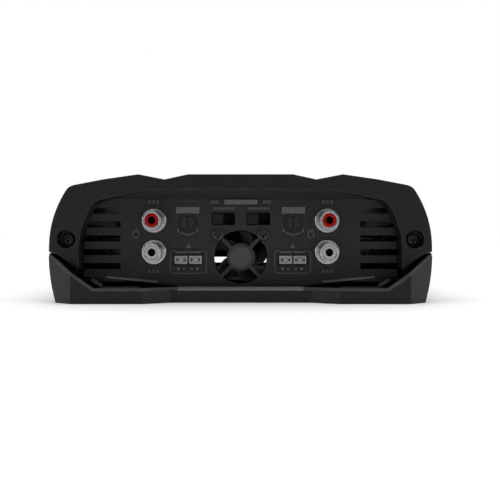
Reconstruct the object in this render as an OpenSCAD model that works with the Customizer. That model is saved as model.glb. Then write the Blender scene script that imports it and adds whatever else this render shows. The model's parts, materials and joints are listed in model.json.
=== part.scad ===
// Compact car amplifier with a fan-cooled aluminium heatsink case.
// Frame: X to the right, +Z up, the control end faces -Y.
// Origin: middle of the flat underside. All sizes in millimetres.

/* [Case] */
// Width across the side walls
body_w = 165; // [160:1:176]
// Height of the roof above the mounting surface
body_h = 55; // [55:1:60]
// Length from the front bumper to the rear bumper
body_l = 200; // [196:2:240]
// Distance from a bumper's front to the bezel behind it
ledge_d = 11; // [11:0.5:14]
// Depth of the recess in front of an end panel
recess_d = 9; // [8:0.5:10]
// Thickness of the tray floor
floor_t = 3; // [2.5:0.1:3]
// Thickness of the tray and bumper walls
wall_t = 2.5; // [2:0.1:2.5]
// Thickness of the sheet-metal end panels
panel_t = 1.5; // [1:0.1:1.5]

/* [Roof] */
// Half width of the flat middle of the roof
plateau_x = 22.6; // [18:0.2:24]
// Half distance between the two valleys
valley_x = 32.7; // [30:0.2:34]
// Depth of the valleys below the roof ridges
valley_d = 2.2; // [1:0.1:2.5]
// Half distance between the outer ridges
ridge_x = 44.1; // [40:0.2:46]
// Cooling grooves in each wing of the roof
wing_grooves = 4; // [0:1:4]

/* [Mounting] */
// Distance between the left and right mounting holes
mount_dx = 110; // [100:1:116]
// Radius of the mounting holes
mount_r = 2.25; // [1.8:0.05:2.5]

/* [Front controls] */
// Half distance between the two pairs of phono jacks
jack_x = 38.3; // [38:0.1:39]
// Height of the lower jacks
jack_low_z = 21.3; // [21:0.1:21.5]
// Distance between the upper and the lower jacks
jack_pitch = 13.9; // [13.5:0.1:14]
// Outer radius of a jack's metal shell
jack_r = 4.15; // [4.1:0.05:4.2]
// Half distance between the gain controls
gain_x = 23.3; // [23:0.1:23.5]
// Height of the gain controls
gain_z = 34.6; // [34.4:0.1:35]
// Radius of a gain control's slotted shaft
gain_r = 2.8; // [2.5:0.1:3]
// Height of the slide switches
switch_z = 36.1; // [36:0.1:36.4]
// Travel of a slide switch
switch_travel = 5.2; // [4.8:0.1:5.2]

/* [Fan] */
// Side of the square fan housing
fan_side = 25; // [25:0.1:25.4]
// Height of the fan's axis
fan_z = 19.05; // [19:0.05:19.2]
// Radius of the fan's opening
fan_r = 11.9; // [11.5:0.1:11.9]
// Blades on the impeller
fan_blades = 5; // [4:1:7]

/* [Rear terminals] */
// Bore radius of the ground and supply terminals
power_bore_r = 3.2; // [2.8:0.1:3.2]
// Bore radius of the remote terminal
remote_bore_r = 1.7; // [1.4:0.1:1.7]
// Height of the wire bores
wire_z = 22; // [22:0.1:22.2]

/* [Hidden] */
$fn = 48;

// Stations along the length; the rear ones mirror the front ones
end_y = body_l / 2;
bezel_y = end_y - ledge_d;
panel_y = bezel_y - recess_d;
shell_y = panel_y - 1;
inner_y = panel_y - panel_t;

// Case section
half_w = body_w / 2;
foot_in = 3.8;
seam_z = 21.2;
seam_gap = 0.4;
waist_z = seam_z + seam_gap;
shoulder_in = 6;
shoulder_z = body_h - 10;
corner_r = 5.4;
corner_c = [half_w - 11.8, body_h - 9.9];
wing_bend = [ridge_x + 15, body_h - 2.17];
rail_x = half_w - 9.9;
rail_outer_x = half_w - 5.4;
rail_top_z = 32;
cavity_x = half_w - 5.5;
ceiling_z = body_h - 5.5;
screw_x = half_w - 7.4;
screw_z = 27;

// Bezel opening
open_x = half_w - 12.9;
open_top_z = body_h - 6.5;
open_flat_x = 38.7;
open_shoulder = [half_w - 21.3, body_h - 11.2];
open_corner = [half_w - 19.4, body_h - 12.6];
open_side_z = body_h - 14.7;
open_low_z = 22.3;
open_taper = 4.9;
visor_z = body_h - 10.1;
leg_in_z = 13.8;
leg_turn_x = half_w - 2.3;

// End panels
edge_gap = 0.3;
panel_flat_x = 55.2;
panel_low_z = 6;
foot_bend = [36, 7.3];
foot_out_z = 10.4;
lip = 0.9;
lip_z = 0.4;
vent_x = 53;
vent_h = 2.6;
vent_z0 = 15.1;
vent_pitch = 6.15;
vent_count = 5;

// Bumpers
chin_z = 6.6;
chin_flat_x = half_w - 21;
chin_front_x = half_w - 11.5;
chin_mid_x = 30;
chin_side_x = 41;
chin_setback = 7;
chin_wall = 3;
sill_x = 26.8;
sill_y = -end_y + chin_setback;
sill_z = [5.2, 7.1];
gusset_x = half_w - 22;
mount_y = bezel_y + 4;
tongue_x = [44, 64];
tongue_l = 12;
tongue_h = 3.2;
tongue_screw_x = 54;

// Circuit boards
board_z = 8.2;
board_t = 1.6;
board_top = board_z + board_t;
board_x = rail_x - 0.8;
board_y = inner_y - 0.3;
control_y = inner_y - 9.1;
control_t = 1.6;
standoff_front = [28, inner_y - 5.5];
standoff_mid = [62, 0];

// Front features
jack_zs = [jack_low_z, jack_low_z + jack_pitch];
jack_root_r = jack_r - 0.2;
jack_flange_r = 5.4;
jack_flange_t = 0.6;
insert_r = 3.05;
insert_hole_r = 1.7;
insert_lip = 1.6;
contact_r = 2;
contact_bore_r = 1.65;
jack_tip_y = bezel_y + 0.2;
jack_block_w = 13.4;
jack_block_h = 42.3;
switch_left_x = -7.6;
switch_right_x = 7.9;
switch_open = [10.4, 5.5];
socket_x = 23.1;
socket_z = 17.9;
socket_w = 13.2;
socket_h = 4.8;
nose_dx = 3.15;
nose = [5.6, 3.6];

// Fan
fan_front = inner_y;
fan_depth = 10;
fan_hub_r = 6;
rotor_r = 6.4;
blade_r = 11.4;
shaft_r = 1;
fan_hole = 10;

// Power stage
device_ys = [-40, -24, -8, 8, 24, 40];
device_t = 4.5;
pad_t = 0.4;
clamp_ys = [-32, 0, 32];
clamp_z = 24;
bar_t = 2;
bar_x = rail_x - pad_t - device_t - bar_t;

// Rear terminals
term_y = [inner_y - 12, bezel_y + 7];
term_z = [15.5, 33.5];
foot_x0 = standoff_front.x + 4;
power_x = [-51, -19];
power_xs = [-44.5, -35, -25.5];
clamp_y = bezel_y + 1.5;
contact_y = [bezel_y - 7, bezel_y + 6.5];
contact_top = wire_z + 5.5;
speaker_x = [19, 51];
speaker_z = [16, 32];
speaker_wall = 1.5;
speaker_y = [inner_y - 12, bezel_y + 1];
fuse_zs = [27, 36];
fuse_w = 19;
fuse_t = 5;
holder_z = [22, 41];
holder_y = [inner_y - 11, panel_y + 2];

// Colours
powder = [0.13, 0.13, 0.135];
trim = [0.2, 0.2, 0.21];
steel = [0.62, 0.63, 0.65];
dark_plastic = [0.06, 0.06, 0.065];
board_black = [0.07, 0.08, 0.075];

// ---------- helpers ----------

function flip(pts) = [for (i = [len(pts) - 1:-1:0]) [-pts[i].x, pts[i].y]];
function both(pts) = concat(pts, flip(pts));

// Outside of the case below the seam and above it
function foot_x(z) = half_w - foot_in * pow((seam_z - 1.5 - min(z, seam_z - 1.5)) / (seam_z - 1.5), 2);
function shoulder_x(z) = half_w - shoulder_in * pow(max(0, z - waist_z - 0.9) / (shoulder_z - waist_z), 2.2);

// Inside edge of the bezel opening
function opening_x(z) = open_x
    - open_taper * pow(max(0, z - open_low_z) / (open_side_z - open_low_z), 1.9);

module along_y(y0, y1) {
    translate([0, y1, 0]) rotate([90, 0, 0]) linear_extrude(y1 - y0) children();
}

module along_x(x0, x1) {
    translate([x0, 0, 0]) rotate([90, 0, 90]) linear_extrude(x1 - x0) children();
}

module box(x, y, z) {
    translate([x[0], y[0], z[0]]) cube([x[1] - x[0], y[1] - y[0], z[1] - z[0]]);
}

module rod_y(x, z, r, y0, y1) {
    translate([x, y1, z]) rotate([90, 0, 0]) cylinder(r = r, h = y1 - y0);
}

module rod_x(y, z, r, x0, x1) {
    translate([x0, y, z]) rotate([0, 90, 0]) cylinder(r = r, h = x1 - x0);
}

module rod_z(x, y, r, z0, z1) {
    translate([x, y, z0]) cylinder(r = r, h = z1 - z0);
}

module left_right() {
    children();
    mirror([1, 0, 0]) children();
}

module front_rear() {
    children();
    mirror([0, 1, 0]) children();
}

// Round-headed screw that points along +Y, its head's seat at y
module screw_y(x, z, y, shank_r, length, head_r, head_h) {
    difference() {
        union() {
            rod_y(x, z, shank_r, y, y + length);
            rod_y(x, z, head_r, y - head_h, y);
        }
        translate([x, y - head_h, z]) cross_recess(head_r);
    }
}

// Screw that points up, its head's seat at z
module screw_up(x, y, z, shank_r, length, head_r, head_h) {
    difference() {
        union() {
            rod_z(x, y, shank_r, z, z + length);
            rod_z(x, y, head_r, z - head_h, z);
        }
        translate([x, y, z - head_h]) rotate([-90, 0, 0]) cross_recess(head_r);
    }
}

module cross_recess(head_r) {
    arm = head_r * 1.1;
    for (turn = [0, 90])
        rotate([0, turn, 0]) cube([arm, 1.6, head_r * 0.26], center = true);
}

// ---------- case ----------

// Right half of the roof, from the middle down to the seam
function roof_half() = concat(
    [[plateau_x, body_h], [valley_x, body_h - valley_d], [ridge_x, body_h], wing_bend],
    [for (a = [80:-13:28]) corner_c + corner_r * [cos(a), sin(a)]],
    [for (i = [0:8]) let (z = shoulder_z - i * (shoulder_z - waist_z) / 8) [shoulder_x(z), z]]);

module roof_outline(bottom_z) {
    polygon(both(concat(roof_half(), [[half_w, bottom_z]])));
}

module opening_outline() {
    steps = 8;
    sides = [for (i = [0:steps])
        let (z = open_side_z - i * (open_side_z - open_low_z) / steps) [opening_x(z), z]];
    top = [[open_flat_x, open_top_z], open_shoulder, open_corner];
    polygon(both(concat(top, sides, [[open_x, 0]])));
}

module tray_outline() {
    steps = 7;
    outer = [for (i = [0:steps]) let (z = i * seam_z / steps) [foot_x(z), z]];
    inner = [for (i = [steps:-1:0])
        let (z = floor_t + i * (seam_z - floor_t) / steps) [foot_x(z) - wall_t, z]];
    polygon(both(concat(outer, inner)));
}

module base_tray() {
    color(powder) difference() {
        along_y(-panel_y, panel_y) tray_outline();
        left_right() front_rear() {
            rod_z(screw_x, 60, 1.6, -1, floor_t + 1);
            rod_z(screw_x, 60, 3, -1, 1.8);
            rod_z(tongue_screw_x, panel_y - tongue_l / 2, 1.6, -1, floor_t + 1);
            rod_z(tongue_screw_x, panel_y - tongue_l / 2, 3, -1, 1.8);
        }
    }
}

module bumper_plan(inset, back) {
    slope = inset * 0.42;
    polygon(both([
        [chin_mid_x + slope, -end_y + chin_setback + inset],
        [chin_side_x + slope, -end_y + inset],
        [chin_front_x - slope, -end_y + inset],
        [half_w - 1.57 * inset, -end_y + ledge_d + 0.24 * inset],
        [half_w - 1.57 * inset, back]
    ]));
}

module bumper() {
    steps = 7;
    sides = [for (i = [steps:-1:0]) let (z = i * seam_z / steps) [foot_x(z), z]];
    difference() {
        intersection() {
            linear_extrude(seam_z) bumper_plan(0, -panel_y);
            along_y(-end_y, -panel_y) polygon(both(concat([[chin_flat_x, chin_z]], sides)));
        }
        translate([0, 0, floor_t]) linear_extrude(seam_z) bumper_plan(chin_wall, -panel_y + 1);
        left_right() rod_z(mount_dx / 2, -mount_y, mount_r, -1, floor_t + 1);
        box([-sill_x, sill_x], [-end_y, -panel_y], [sill_z[0], seam_z]);
    }
    // Sloping sill between the two noses
    along_x(-sill_x, sill_x) polygon([
        [sill_y, floor_t - 0.5], [sill_y, sill_z[0]], [sill_y + 1.8, sill_z[1]],
        [sill_y + chin_wall, sill_z[1]], [sill_y + chin_wall, floor_t - 0.5]
    ]);
    left_right() difference() {
        box(tongue_x, [-panel_y - 2, -panel_y + tongue_l], [floor_t, floor_t + tongue_h]);
        rod_z(tongue_screw_x, -panel_y + tongue_l / 2, 1.45, floor_t - 1, floor_t + 2.8);
    }
    // Slanting gusset at the foot of each end of the panel
    left_right() along_y(-panel_y - 3, -panel_y) polygon([
        [gusset_x, floor_t - 0.5], [gusset_x, 7.4], [gusset_x + 4.6, 10.1],
        [gusset_x + 6.2, 9], [gusset_x + 2.6, 6], [gusset_x + 2.6, floor_t - 0.5]
    ]);
}

module front_bumper() { color(powder) bumper(); }

module rear_bumper() { color(powder) mirror([0, 1, 0]) bumper(); }

module shell_section() {
    rail = [
        [rail_outer_x, waist_z], [rail_outer_x, floor_t], [rail_x, floor_t], [rail_x, rail_top_z],
        [cavity_x, rail_top_z + 2], [cavity_x, body_h - 15], [half_w - 16.5, body_h - 7.5],
        [half_w - 22.5, ceiling_z]
    ];
    difference() {
        polygon(both(concat(roof_half(), rail)));
        left_right() for (i = [0:1:wing_grooves - 1])
            translate([ridge_x + 4 + i * 5.2, body_h - 3 - i * 0.87]) square([1.8, 6]);
    }
}

module heatsink_shell() {
    color(powder) difference() {
        along_y(-shell_y, shell_y) shell_section();
        box([-17, 17], [-45, 45], [body_h - 0.9, body_h + 1]);
        left_right() front_rear() {
            rod_y(screw_x, screw_z, 1.5, -shell_y - 1, -shell_y + 14);
            rod_z(screw_x, 60, 1.5, floor_t - 1, floor_t + 11);
        }
        left_right() for (y = clamp_ys) rod_x(y, clamp_z, 1.5, rail_x - 1, rail_x + 6);
    }
}

module top_plate() {
    color(trim) difference() {
        box([-16.9, 16.9], [-44.9, 44.9], [body_h - 0.9, body_h]);
        box([-14.5, 14.5], [-42.5, 42.5], [body_h - 0.3, body_h + 1]);
    }
}

// Arched frame that closes one end of the heatsink
module bezel() {
    difference() {
        union() {
            difference() {
                along_y(-bezel_y, -shell_y) roof_outline(leg_in_z - 2);
                along_y(-bezel_y - 1, -shell_y + 1) opening_outline();
            }
            // Sloping visor between the opening and the panel's top edge
            intersection() {
                along_y(-bezel_y, -shell_y) roof_outline(leg_in_z - 2);
                along_x(-panel_flat_x - 2, panel_flat_x + 2) polygon([
                    [-bezel_y, open_top_z + 1], [-bezel_y, open_top_z],
                    [-panel_y, visor_z], [-shell_y, visor_z], [-shell_y, open_top_z + 1]
                ]);
            }
        }
        left_right() {
            along_y(-bezel_y - 1, -shell_y + 1) polygon([
                [open_x - 4, 0], [open_x - 4, leg_in_z - 2.6], [open_x, leg_in_z],
                [leg_turn_x, seam_z + 0.15], [half_w + 4, seam_z + 0.3], [half_w + 4, 0]
            ]);
            rod_y(screw_x, screw_z, 4, -bezel_y - 1, -bezel_y + 6);
            rod_y(screw_x, screw_z, 1.6, -bezel_y, -shell_y + 1);
        }
    }
}

module front_bezel() { color(powder) bezel(); }

module rear_bezel() { color(powder) mirror([0, 1, 0]) bezel(); }

// Sheet with open-ended cooling slots at both sides
module vented_panel() {
    steps = 8;
    sides = [for (i = [0:steps])
        let (z = open_side_z - 0.3 - i * (open_side_z - 12) / steps) [opening_x(z) - edge_gap, z]];
    gap = [edge_gap, edge_gap];
    top = [[panel_flat_x, visor_z], open_shoulder - gap, open_corner - gap];
    foot = [[open_x - edge_gap, foot_out_z], foot_bend, [24, panel_low_z]];
    foot_tilt = atan2(foot_out_z - foot_bend.y, open_x - edge_gap - foot_bend.x);
    along_y(-panel_y, -inner_y) difference() {
        polygon(both(concat(top, sides, foot)));
        left_right() for (i = [0:vent_count - 1])
            translate([vent_x, vent_z0 - vent_h / 2 + i * vent_pitch]) square([30, vent_h]);
    }
    // Folded lip along the sloping part of the foot
    left_right() translate([foot_bend.x, -panel_y, foot_bend.y]) rotate([0, -foot_tilt, 0])
        along_x(0.5, gusset_x - foot_bend.x - 1) polygon([
            [panel_t / 2, lip_z], [-lip, lip_z], [0, lip_z + lip], [panel_t / 2, lip_z + lip]
        ]);
    // Tab that goes under the main board
    left_right() box([22, 34], [-inner_y, -standoff_front.y + 3.5], [board_z - panel_t, board_z]);
}

module front_panel() {
    y = [-panel_y - 1, -inner_y + 0.01];
    color(powder) difference() {
        vented_panel();
        left_right() {
            for (z = jack_zs) rod_y(jack_x, z, jack_root_r + 0.25, y[0], y[1]);
            rod_y(gain_x, gain_z, 4.1, y[0], y[1]);
            rod_y(fan_hole, fan_z + fan_hole, 1.6, y[0], y[1]);
            box([socket_x - socket_w / 2, socket_x + socket_w / 2], y,
                [socket_z - socket_h / 2, socket_z + socket_h / 2]);
            rod_z(standoff_front.x, -standoff_front.y, 1.6, board_z - 3, board_z + 1);
        }
        rod_y(0, fan_z, fan_r, y[0], y[1]);
        for (x = [switch_left_x, switch_right_x])
            box([x - switch_open.x / 2, x + switch_open.x / 2], y,
                [switch_z - switch_open.y / 2, switch_z + switch_open.y / 2]);
    }
}

module rear_panel() {
    y = [inner_y - 0.01, panel_y + 1];
    color(powder) difference() {
        mirror([0, 1, 0]) vented_panel();
        left_right() rod_z(standoff_front.x, standoff_front.y, 1.6, board_z - 3, board_z + 1);
        box(power_x, y, term_z);
        box(speaker_x, y, speaker_z);
        box([-12, 12], y, holder_z);
        box([-18.5, 18.5], y, [12, 15.6]);
    }
}

// ---------- case fasteners ----------

module bezel_screws() {
    color(steel) front_rear() left_right()
        screw_y(screw_x, screw_z, -bezel_y + 6, 1.45, 14, 2.75, 1.8);
}

module base_screws() {
    color(steel) front_rear() left_right() screw_up(screw_x, 60, 1.8, 1.45, 11, 2.8, 1.5);
}

module bumper_screws() {
    color(steel) front_rear() left_right()
        screw_up(tongue_screw_x, panel_y - tongue_l / 2, 1.8, 1.4, 3.6, 2.8, 1.5);
}

// ---------- fan ----------

module fan_frame() {
    back = -fan_front + fan_depth;
    color(dark_plastic) difference() {
        union() {
            difference() {
                box([-fan_side / 2, fan_side / 2], [-fan_front, back],
                    [fan_z - fan_side / 2, fan_z + fan_side / 2]);
                rod_y(0, fan_z, fan_r, -fan_front - 1, back + 1);
            }
            rod_y(0, fan_z, fan_hub_r, -fan_front, -fan_front + 1.6);
            for (a = [45:90:315])
                translate([0, -fan_front, fan_z]) rotate([0, a, 0])
                    translate([fan_hub_r - 1, 0, -0.9]) cube([fan_r - fan_hub_r + 1.6, 1.6, 1.8]);
            rod_y(0, fan_z, 2.6, -fan_front + 1.6, -fan_front + 7.6);
        }
        rod_y(0, fan_z, 2, -fan_front + 1.2, -fan_front + 8);
        left_right() rod_y(fan_hole, fan_z + fan_hole, 1.5, -fan_front - 1, back + 1);
        left_right() rod_y(fan_hole, fan_z - fan_hole, 1.5, -fan_front - 1, back + 1);
    }
}

module fan_impeller() {
    y0 = -fan_front + 2.3;
    y1 = -fan_front + 9.3;
    first_blade = -3;
    color([0.08, 0.08, 0.085]) {
        difference() {
            rod_y(0, fan_z, rotor_r, y0, y1);
            rod_y(0, fan_z, rotor_r - 0.7, y0 - 1, y1 - 1);
            rod_y(0, fan_z, shaft_r, y1 - 2, y1 + 1);
        }
        intersection() {
            difference() {
                rod_y(0, fan_z, blade_r, y0, y1);
                rod_y(0, fan_z, rotor_r - 0.3, y0 - 1, y1 + 1);
            }
            for (i = [0:fan_blades - 1])
                translate([0, (y0 + y1) / 2, fan_z]) rotate([0, first_blade + i * 360 / fan_blades, 0])
                    translate([9, 0, 0]) rotate([38, 0, 0]) cube([8, 14, 0.9], center = true);
        }
    }
}

module fan_shaft() {
    color(steel) rod_y(0, fan_z, shaft_r, -fan_front + 1.5, -fan_front + 9.3);
}

module fan_bearing() {
    color([0.72, 0.5, 0.25]) difference() {
        rod_y(0, fan_z, 2, -fan_front + 1.2, -fan_front + 7.6);
        rod_y(0, fan_z, shaft_r + 0.04, -fan_front + 1.4, -fan_front + 8);
    }
}

module fan_stator() {
    color([0.7, 0.36, 0.16]) difference() {
        union() {
            rod_y(0, fan_z, 4.2, -fan_front + 2.4, -fan_front + 7.4);
            for (a = [0:90:270])
                translate([0, -fan_front + 2.4, fan_z]) rotate([0, a, 0])
                    translate([3.4, 0, -1.4]) cube([1.7, 5, 2.8]);
        }
        rod_y(0, fan_z, 2.6, -fan_front + 1, -fan_front + 9);
    }
}

module fan_screws() {
    color(steel) left_right()
        screw_y(fan_hole, fan_z + fan_hole, -panel_y, 1.45, 10.5, 2.75, 1.5);
}

// ---------- phono jacks ----------

module rca_block() {
    x = [jack_x - jack_block_w / 2, jack_x + jack_block_w / 2];
    color(dark_plastic) difference() {
        box(x, [-inner_y, -inner_y + 13.5], [board_top, jack_block_h]);
        for (z = jack_zs) rod_y(jack_x, z, jack_root_r, -inner_y - 1, -inner_y + 5);
    }
}

module rca_block_left() { mirror([1, 0, 0]) rca_block(); }

module rca_block_right() { rca_block(); }

module rca_shells() {
    color([0.78, 0.78, 0.8]) left_right() for (z = jack_zs) difference() {
        union() {
            rod_y(jack_x, z, jack_r, -jack_tip_y, -panel_y - jack_flange_t);
            rod_y(jack_x, z, jack_flange_r, -panel_y - jack_flange_t, -panel_y);
            rod_y(jack_x, z, jack_root_r, -panel_y - 0.1, -inner_y + 5);
        }
        rod_y(jack_x, z, insert_r, -jack_tip_y - 1, -inner_y + 6);
    }
}

module rca_insert(z) {
    front = -jack_tip_y + 0.3;
    difference() {
        rod_y(jack_x, z, insert_r, front, -inner_y + 5);
        rod_y(jack_x, z, insert_hole_r, front - 1, -inner_y + 6);
        rod_y(jack_x, z, contact_r, front + insert_lip, -inner_y + 6);
    }
}

module rca_inserts_red() { color([0.62, 0.04, 0.03]) left_right() rca_insert(jack_zs[1]); }

module rca_inserts_white() { color([0.85, 0.85, 0.84]) left_right() rca_insert(jack_zs[0]); }

module rca_contacts() {
    front = -jack_tip_y + 0.3 + insert_lip;
    color([0.75, 0.6, 0.3]) left_right() for (z = jack_zs) difference() {
        rod_y(jack_x, z, contact_r, front, -inner_y + 5);
        rod_y(jack_x, z, contact_bore_r, front - 1, -inner_y + 4);
    }
}

// ---------- gain controls ----------

module gain_pot() {
    color(dark_plastic) difference() {
        union() {
            box([gain_x - 4.8, gain_x + 4.8], [-inner_y + 0.6, -control_y],
                [gain_z - 4.8, gain_z + 4.8]);
            rod_y(gain_x, gain_z, 3.9, -panel_y + 0.5, -inner_y + 0.6);
        }
        rod_y(gain_x, gain_z, gain_r + 0.06, -panel_y - 1, -control_y - 3);
    }
}

module gain_pot_left() { mirror([1, 0, 0]) gain_pot(); }

module gain_pot_right() { gain_pot(); }

module gain_knob() {
    color([0.16, 0.16, 0.17]) difference() {
        rod_y(gain_x, gain_z, gain_r, -panel_y - 0.2, -control_y - 3.2);
        box([gain_x - 0.45, gain_x + 0.45], [-panel_y - 1, -panel_y + 0.9],
            [gain_z - 2.3, gain_z + gain_r + 1]);
    }
}

module gain_knob_left() { mirror([1, 0, 0]) gain_knob(); }

module gain_knob_right() { gain_knob(); }

// ---------- slide switches ----------

module mode_switch(x) {
    color([0.1, 0.1, 0.105]) difference() {
        box([x - 6.8, x + 6.8], [-inner_y, -control_y], [switch_z - 3.6, switch_z + 3.6]);
        box([x - 5.9, x + 5.9], [-inner_y + 1, -control_y - 2], [switch_z - 3.1, switch_z + 3.1]);
        box([x - 5.2, x + 5.2], [-inner_y - 1, -inner_y + 2], [switch_z - 2.5, switch_z + 2.5]);
    }
}

module mode_switch_left() { mode_switch(switch_left_x); }

module mode_switch_right() { mode_switch(switch_right_x); }

// Slider at the left end of its travel
module switch_slider(x) {
    nub_w = 10 - switch_travel;
    color([0.2, 0.2, 0.21]) {
        box([x - 5, x - 5 + nub_w], [-panel_y + 0.1, -inner_y + 1.5], [switch_z - 2.3, switch_z + 2.3]);
        box([x - 5.6, x - 4.4 + nub_w], [-inner_y + 1.2, -control_y - 2.2],
            [switch_z - 2.9, switch_z + 2.9]);
    }
}

module switch_slider_left() { switch_slider(switch_left_x); }

module switch_slider_right() { switch_slider(switch_right_x); }

// ---------- speaker-level input sockets ----------

module input_socket() {
    cavity_t = 0.7;
    color([0.72, 0.73, 0.72]) difference() {
        union() {
            for (side = [-1, 1])
                translate([socket_x + side * nose_dx, 0, socket_z])
                    box([-nose.x / 2, nose.x / 2], [-panel_y - 0.4, -inner_y + 5], [-nose.y / 2, nose.y / 2]);
            box([socket_x - socket_w / 2 - 0.4, socket_x + socket_w / 2 + 0.4],
                [-inner_y + 4, -control_y - 1], [socket_z - 3.2, socket_z + 3.2]);
            box([socket_x - 5, socket_x + 1.5], [-inner_y + 4.5, -control_y - 1],
                [board_top, socket_z - 3]);
        }
        for (side = [-1, 1])
            translate([socket_x + side * nose_dx, 0, socket_z])
                box([-nose.x / 2 + cavity_t, nose.x / 2 - cavity_t], [-panel_y - 1, -panel_y + 2.8],
                    [-nose.y / 2 + cavity_t, nose.y / 2 - cavity_t]);
        input_pin_places() cube([0.9, 30, 0.9], center = true);
    }
}

module input_socket_left() { mirror([1, 0, 0]) input_socket(); }

module input_socket_right() { input_socket(); }

module input_pin_places() {
    for (dx = [-4.55, -1.75, 1.75, 4.55]) translate([socket_x + dx, -inner_y, socket_z]) children();
}

module input_pins() {
    color([0.75, 0.6, 0.3]) left_right() input_pin_places()
        box([-0.4, 0.4], [-0.5, 5.5], [-0.4, 0.4]);
}

// ---------- boards ----------

module standoff_places() {
    left_right() front_rear() translate([standoff_front.x, standoff_front.y, 0]) children(0);
    left_right() translate([standoff_mid.x, standoff_mid.y, 0]) children(1);
}

module main_board() {
    color(board_black) difference() {
        box([-board_x, board_x], [-board_y, board_y], [board_z, board_top]);
        box([-fan_side / 2 - 1, fan_side / 2 + 1], [-board_y - 1, -fan_front + fan_depth + 1.5],
            [board_z - 1, board_top + 1]);
        standoff_places() {
            rod_z(0, 0, 1.6, board_z - 1, board_top + 1);
            rod_z(0, 0, 1.6, board_z - 1, board_top + 1);
        }
    }
}

module control_board() {
    y = [-control_y, -control_y + control_t];
    color(board_black) difference() {
        union() {
            box([-30.5, 30.5], y, [23, 43.5]);
            left_right() box([22, 30.5], y, [board_top, 23]);
        }
        box([-fan_side / 2 - 0.6, fan_side / 2 + 0.6], [y[0] - 1, y[1] + 1], [20, fan_z + fan_side / 2 + 0.6]);
    }
}

module board_standoffs() {
    color(steel) standoff_places() {
        difference() {
            rod_z(0, 0, 3, floor_t, board_z - panel_t);
            rod_z(0, 0, 1.3, floor_t + 0.8, board_z);
        }
        difference() {
            rod_z(0, 0, 3, floor_t, board_z);
            rod_z(0, 0, 1.3, floor_t + 0.8, board_z + 1);
        }
    }
}

module board_screws() {
    color(steel) standoff_places() {
        rotate([180, 0, 0]) translate([0, 0, -board_top]) screw_up(0, 0, 0, 1.25, 5.4, 2.7, 1.8);
        rotate([180, 0, 0]) translate([0, 0, -board_top]) screw_up(0, 0, 0, 1.25, 5.4, 2.7, 1.8);
    }
}

// ---------- components on the main board ----------

// Ring core that stands clear of the board by the winding's thickness
module ring_core(at, r_in, r_out, h, wind_t) {
    translate([at.x, at.y, board_top + wind_t]) rotate_extrude()
        translate([r_in, 0]) square([r_out - r_in, h]);
}

// Separate square loops of wire round a ring core
module ring_winding(at, r_in, r_out, h, wind_t, turns) {
    wire_w = 1.2;
    gap = 0.05;
    translate([at.x, at.y, board_top]) for (i = [0:turns - 1])
        rotate([0, 0, i * 360 / turns]) difference() {
            box([r_in - wind_t, r_out + wind_t], [-wire_w / 2, wire_w / 2], [0, h + 2 * wind_t]);
            box([r_in - gap, r_out + gap], [-wire_w, wire_w], [wind_t - gap, h + wind_t + gap]);
        }
}

module transformer_core() { color([0.2, 0.2, 0.2]) ring_core([-43, 20], 8.5, 15, 11, 1.5); }

module transformer_winding() {
    color([0.72, 0.38, 0.14]) ring_winding([-43, 20], 8.5, 15, 11, 1.5, 24);
}

module choke_core() { color([0.75, 0.7, 0.2]) ring_core([-42, -20], 5, 9, 7, 1.2); }

module choke_winding() { color([0.72, 0.38, 0.14]) ring_winding([-42, -20], 5, 9, 7, 1.2, 14); }

module bulk_capacitors() {
    color([0.08, 0.09, 0.14]) for (x = [32, 50], y = [-16, 2, 20]) rod_z(x, y, 8, board_top, board_top + 28);
}

module output_inductors() {
    color([0.22, 0.22, 0.23]) for (x = [-47, -30, 30, 47])
        box([x - 6.5, x + 6.5], [43.5, 56.5], [board_top, board_top + 9]);
}

module transistors() {
    face = rail_x - pad_t;
    color([0.1, 0.1, 0.1]) for (y = device_ys) {
        box([face - device_t, face], [y - 5, y + 5], [14, 29]);
        for (dy = [-2.5, 0, 2.5])
            box([face - 2.9, face - 2.2], [y + dy - 0.4, y + dy + 0.4], [board_top, 14]);
    }
}

module transistors_left() { mirror([1, 0, 0]) transistors(); }

module transistors_right() { transistors(); }

module thermal_pads() {
    color([0.3, 0.31, 0.32]) left_right() difference() {
        box([rail_x - pad_t, rail_x], [-46, 46], [13, 30]);
        for (y = clamp_ys) rod_x(y, clamp_z, 1.7, rail_x - 1, rail_x + 1);
    }
}

module clamp_bars() {
    color(steel) left_right() difference() {
        box([bar_x, bar_x + bar_t], [-46, 46], [clamp_z - 4, clamp_z + 4]);
        for (y = clamp_ys) rod_x(y, clamp_z, 1.6, bar_x - 1, bar_x + bar_t + 1);
    }
}

module clamp_screws() {
    color(steel) left_right() for (y = clamp_ys) {
        rod_x(y, clamp_z, 1.45, bar_x, rail_x + 5.5);
        rod_x(y, clamp_z, 2.75, bar_x - 1.8, bar_x);
    }
}

module control_chips() {
    color([0.09, 0.09, 0.09]) for (x = [-50, -30, 30, 50])
        box([x - 5, x + 5], [-48, -36], [board_top, board_top + 2.4]);
}

// ---------- rear terminals ----------

module terminal_contact(x, w, bore_r, thread_r) {
    difference() {
        box([x - w / 2, x + w / 2], contact_y, [wire_z - 4.5, contact_top]);
        rod_y(x, wire_z, bore_r, contact_y[0] + 1, contact_y[1] + 1);
        rod_z(x, clamp_y, thread_r, wire_z, contact_top + 1);
    }
}

module terminal_pocket(x, w, screw_r) {
    box([x - w / 2, x + w / 2], [contact_y[0], term_y[1] + 1], [wire_z - 4.5, contact_top]);
    rod_z(x, clamp_y, screw_r, contact_top - 1, term_z[1] + 1);
}

module power_terminal_block() {
    color(dark_plastic) difference() {
        union() {
            box(power_x, term_y, term_z);
            box([power_x[0] + 3, -foot_x0], [term_y[0], inner_y - 3], [board_top, term_z[0]]);
        }
        terminal_pocket(power_xs[0], 9, 2.9);
        terminal_pocket(power_xs[1], 6, 1.9);
        terminal_pocket(power_xs[2], 9, 2.9);
    }
}

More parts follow.
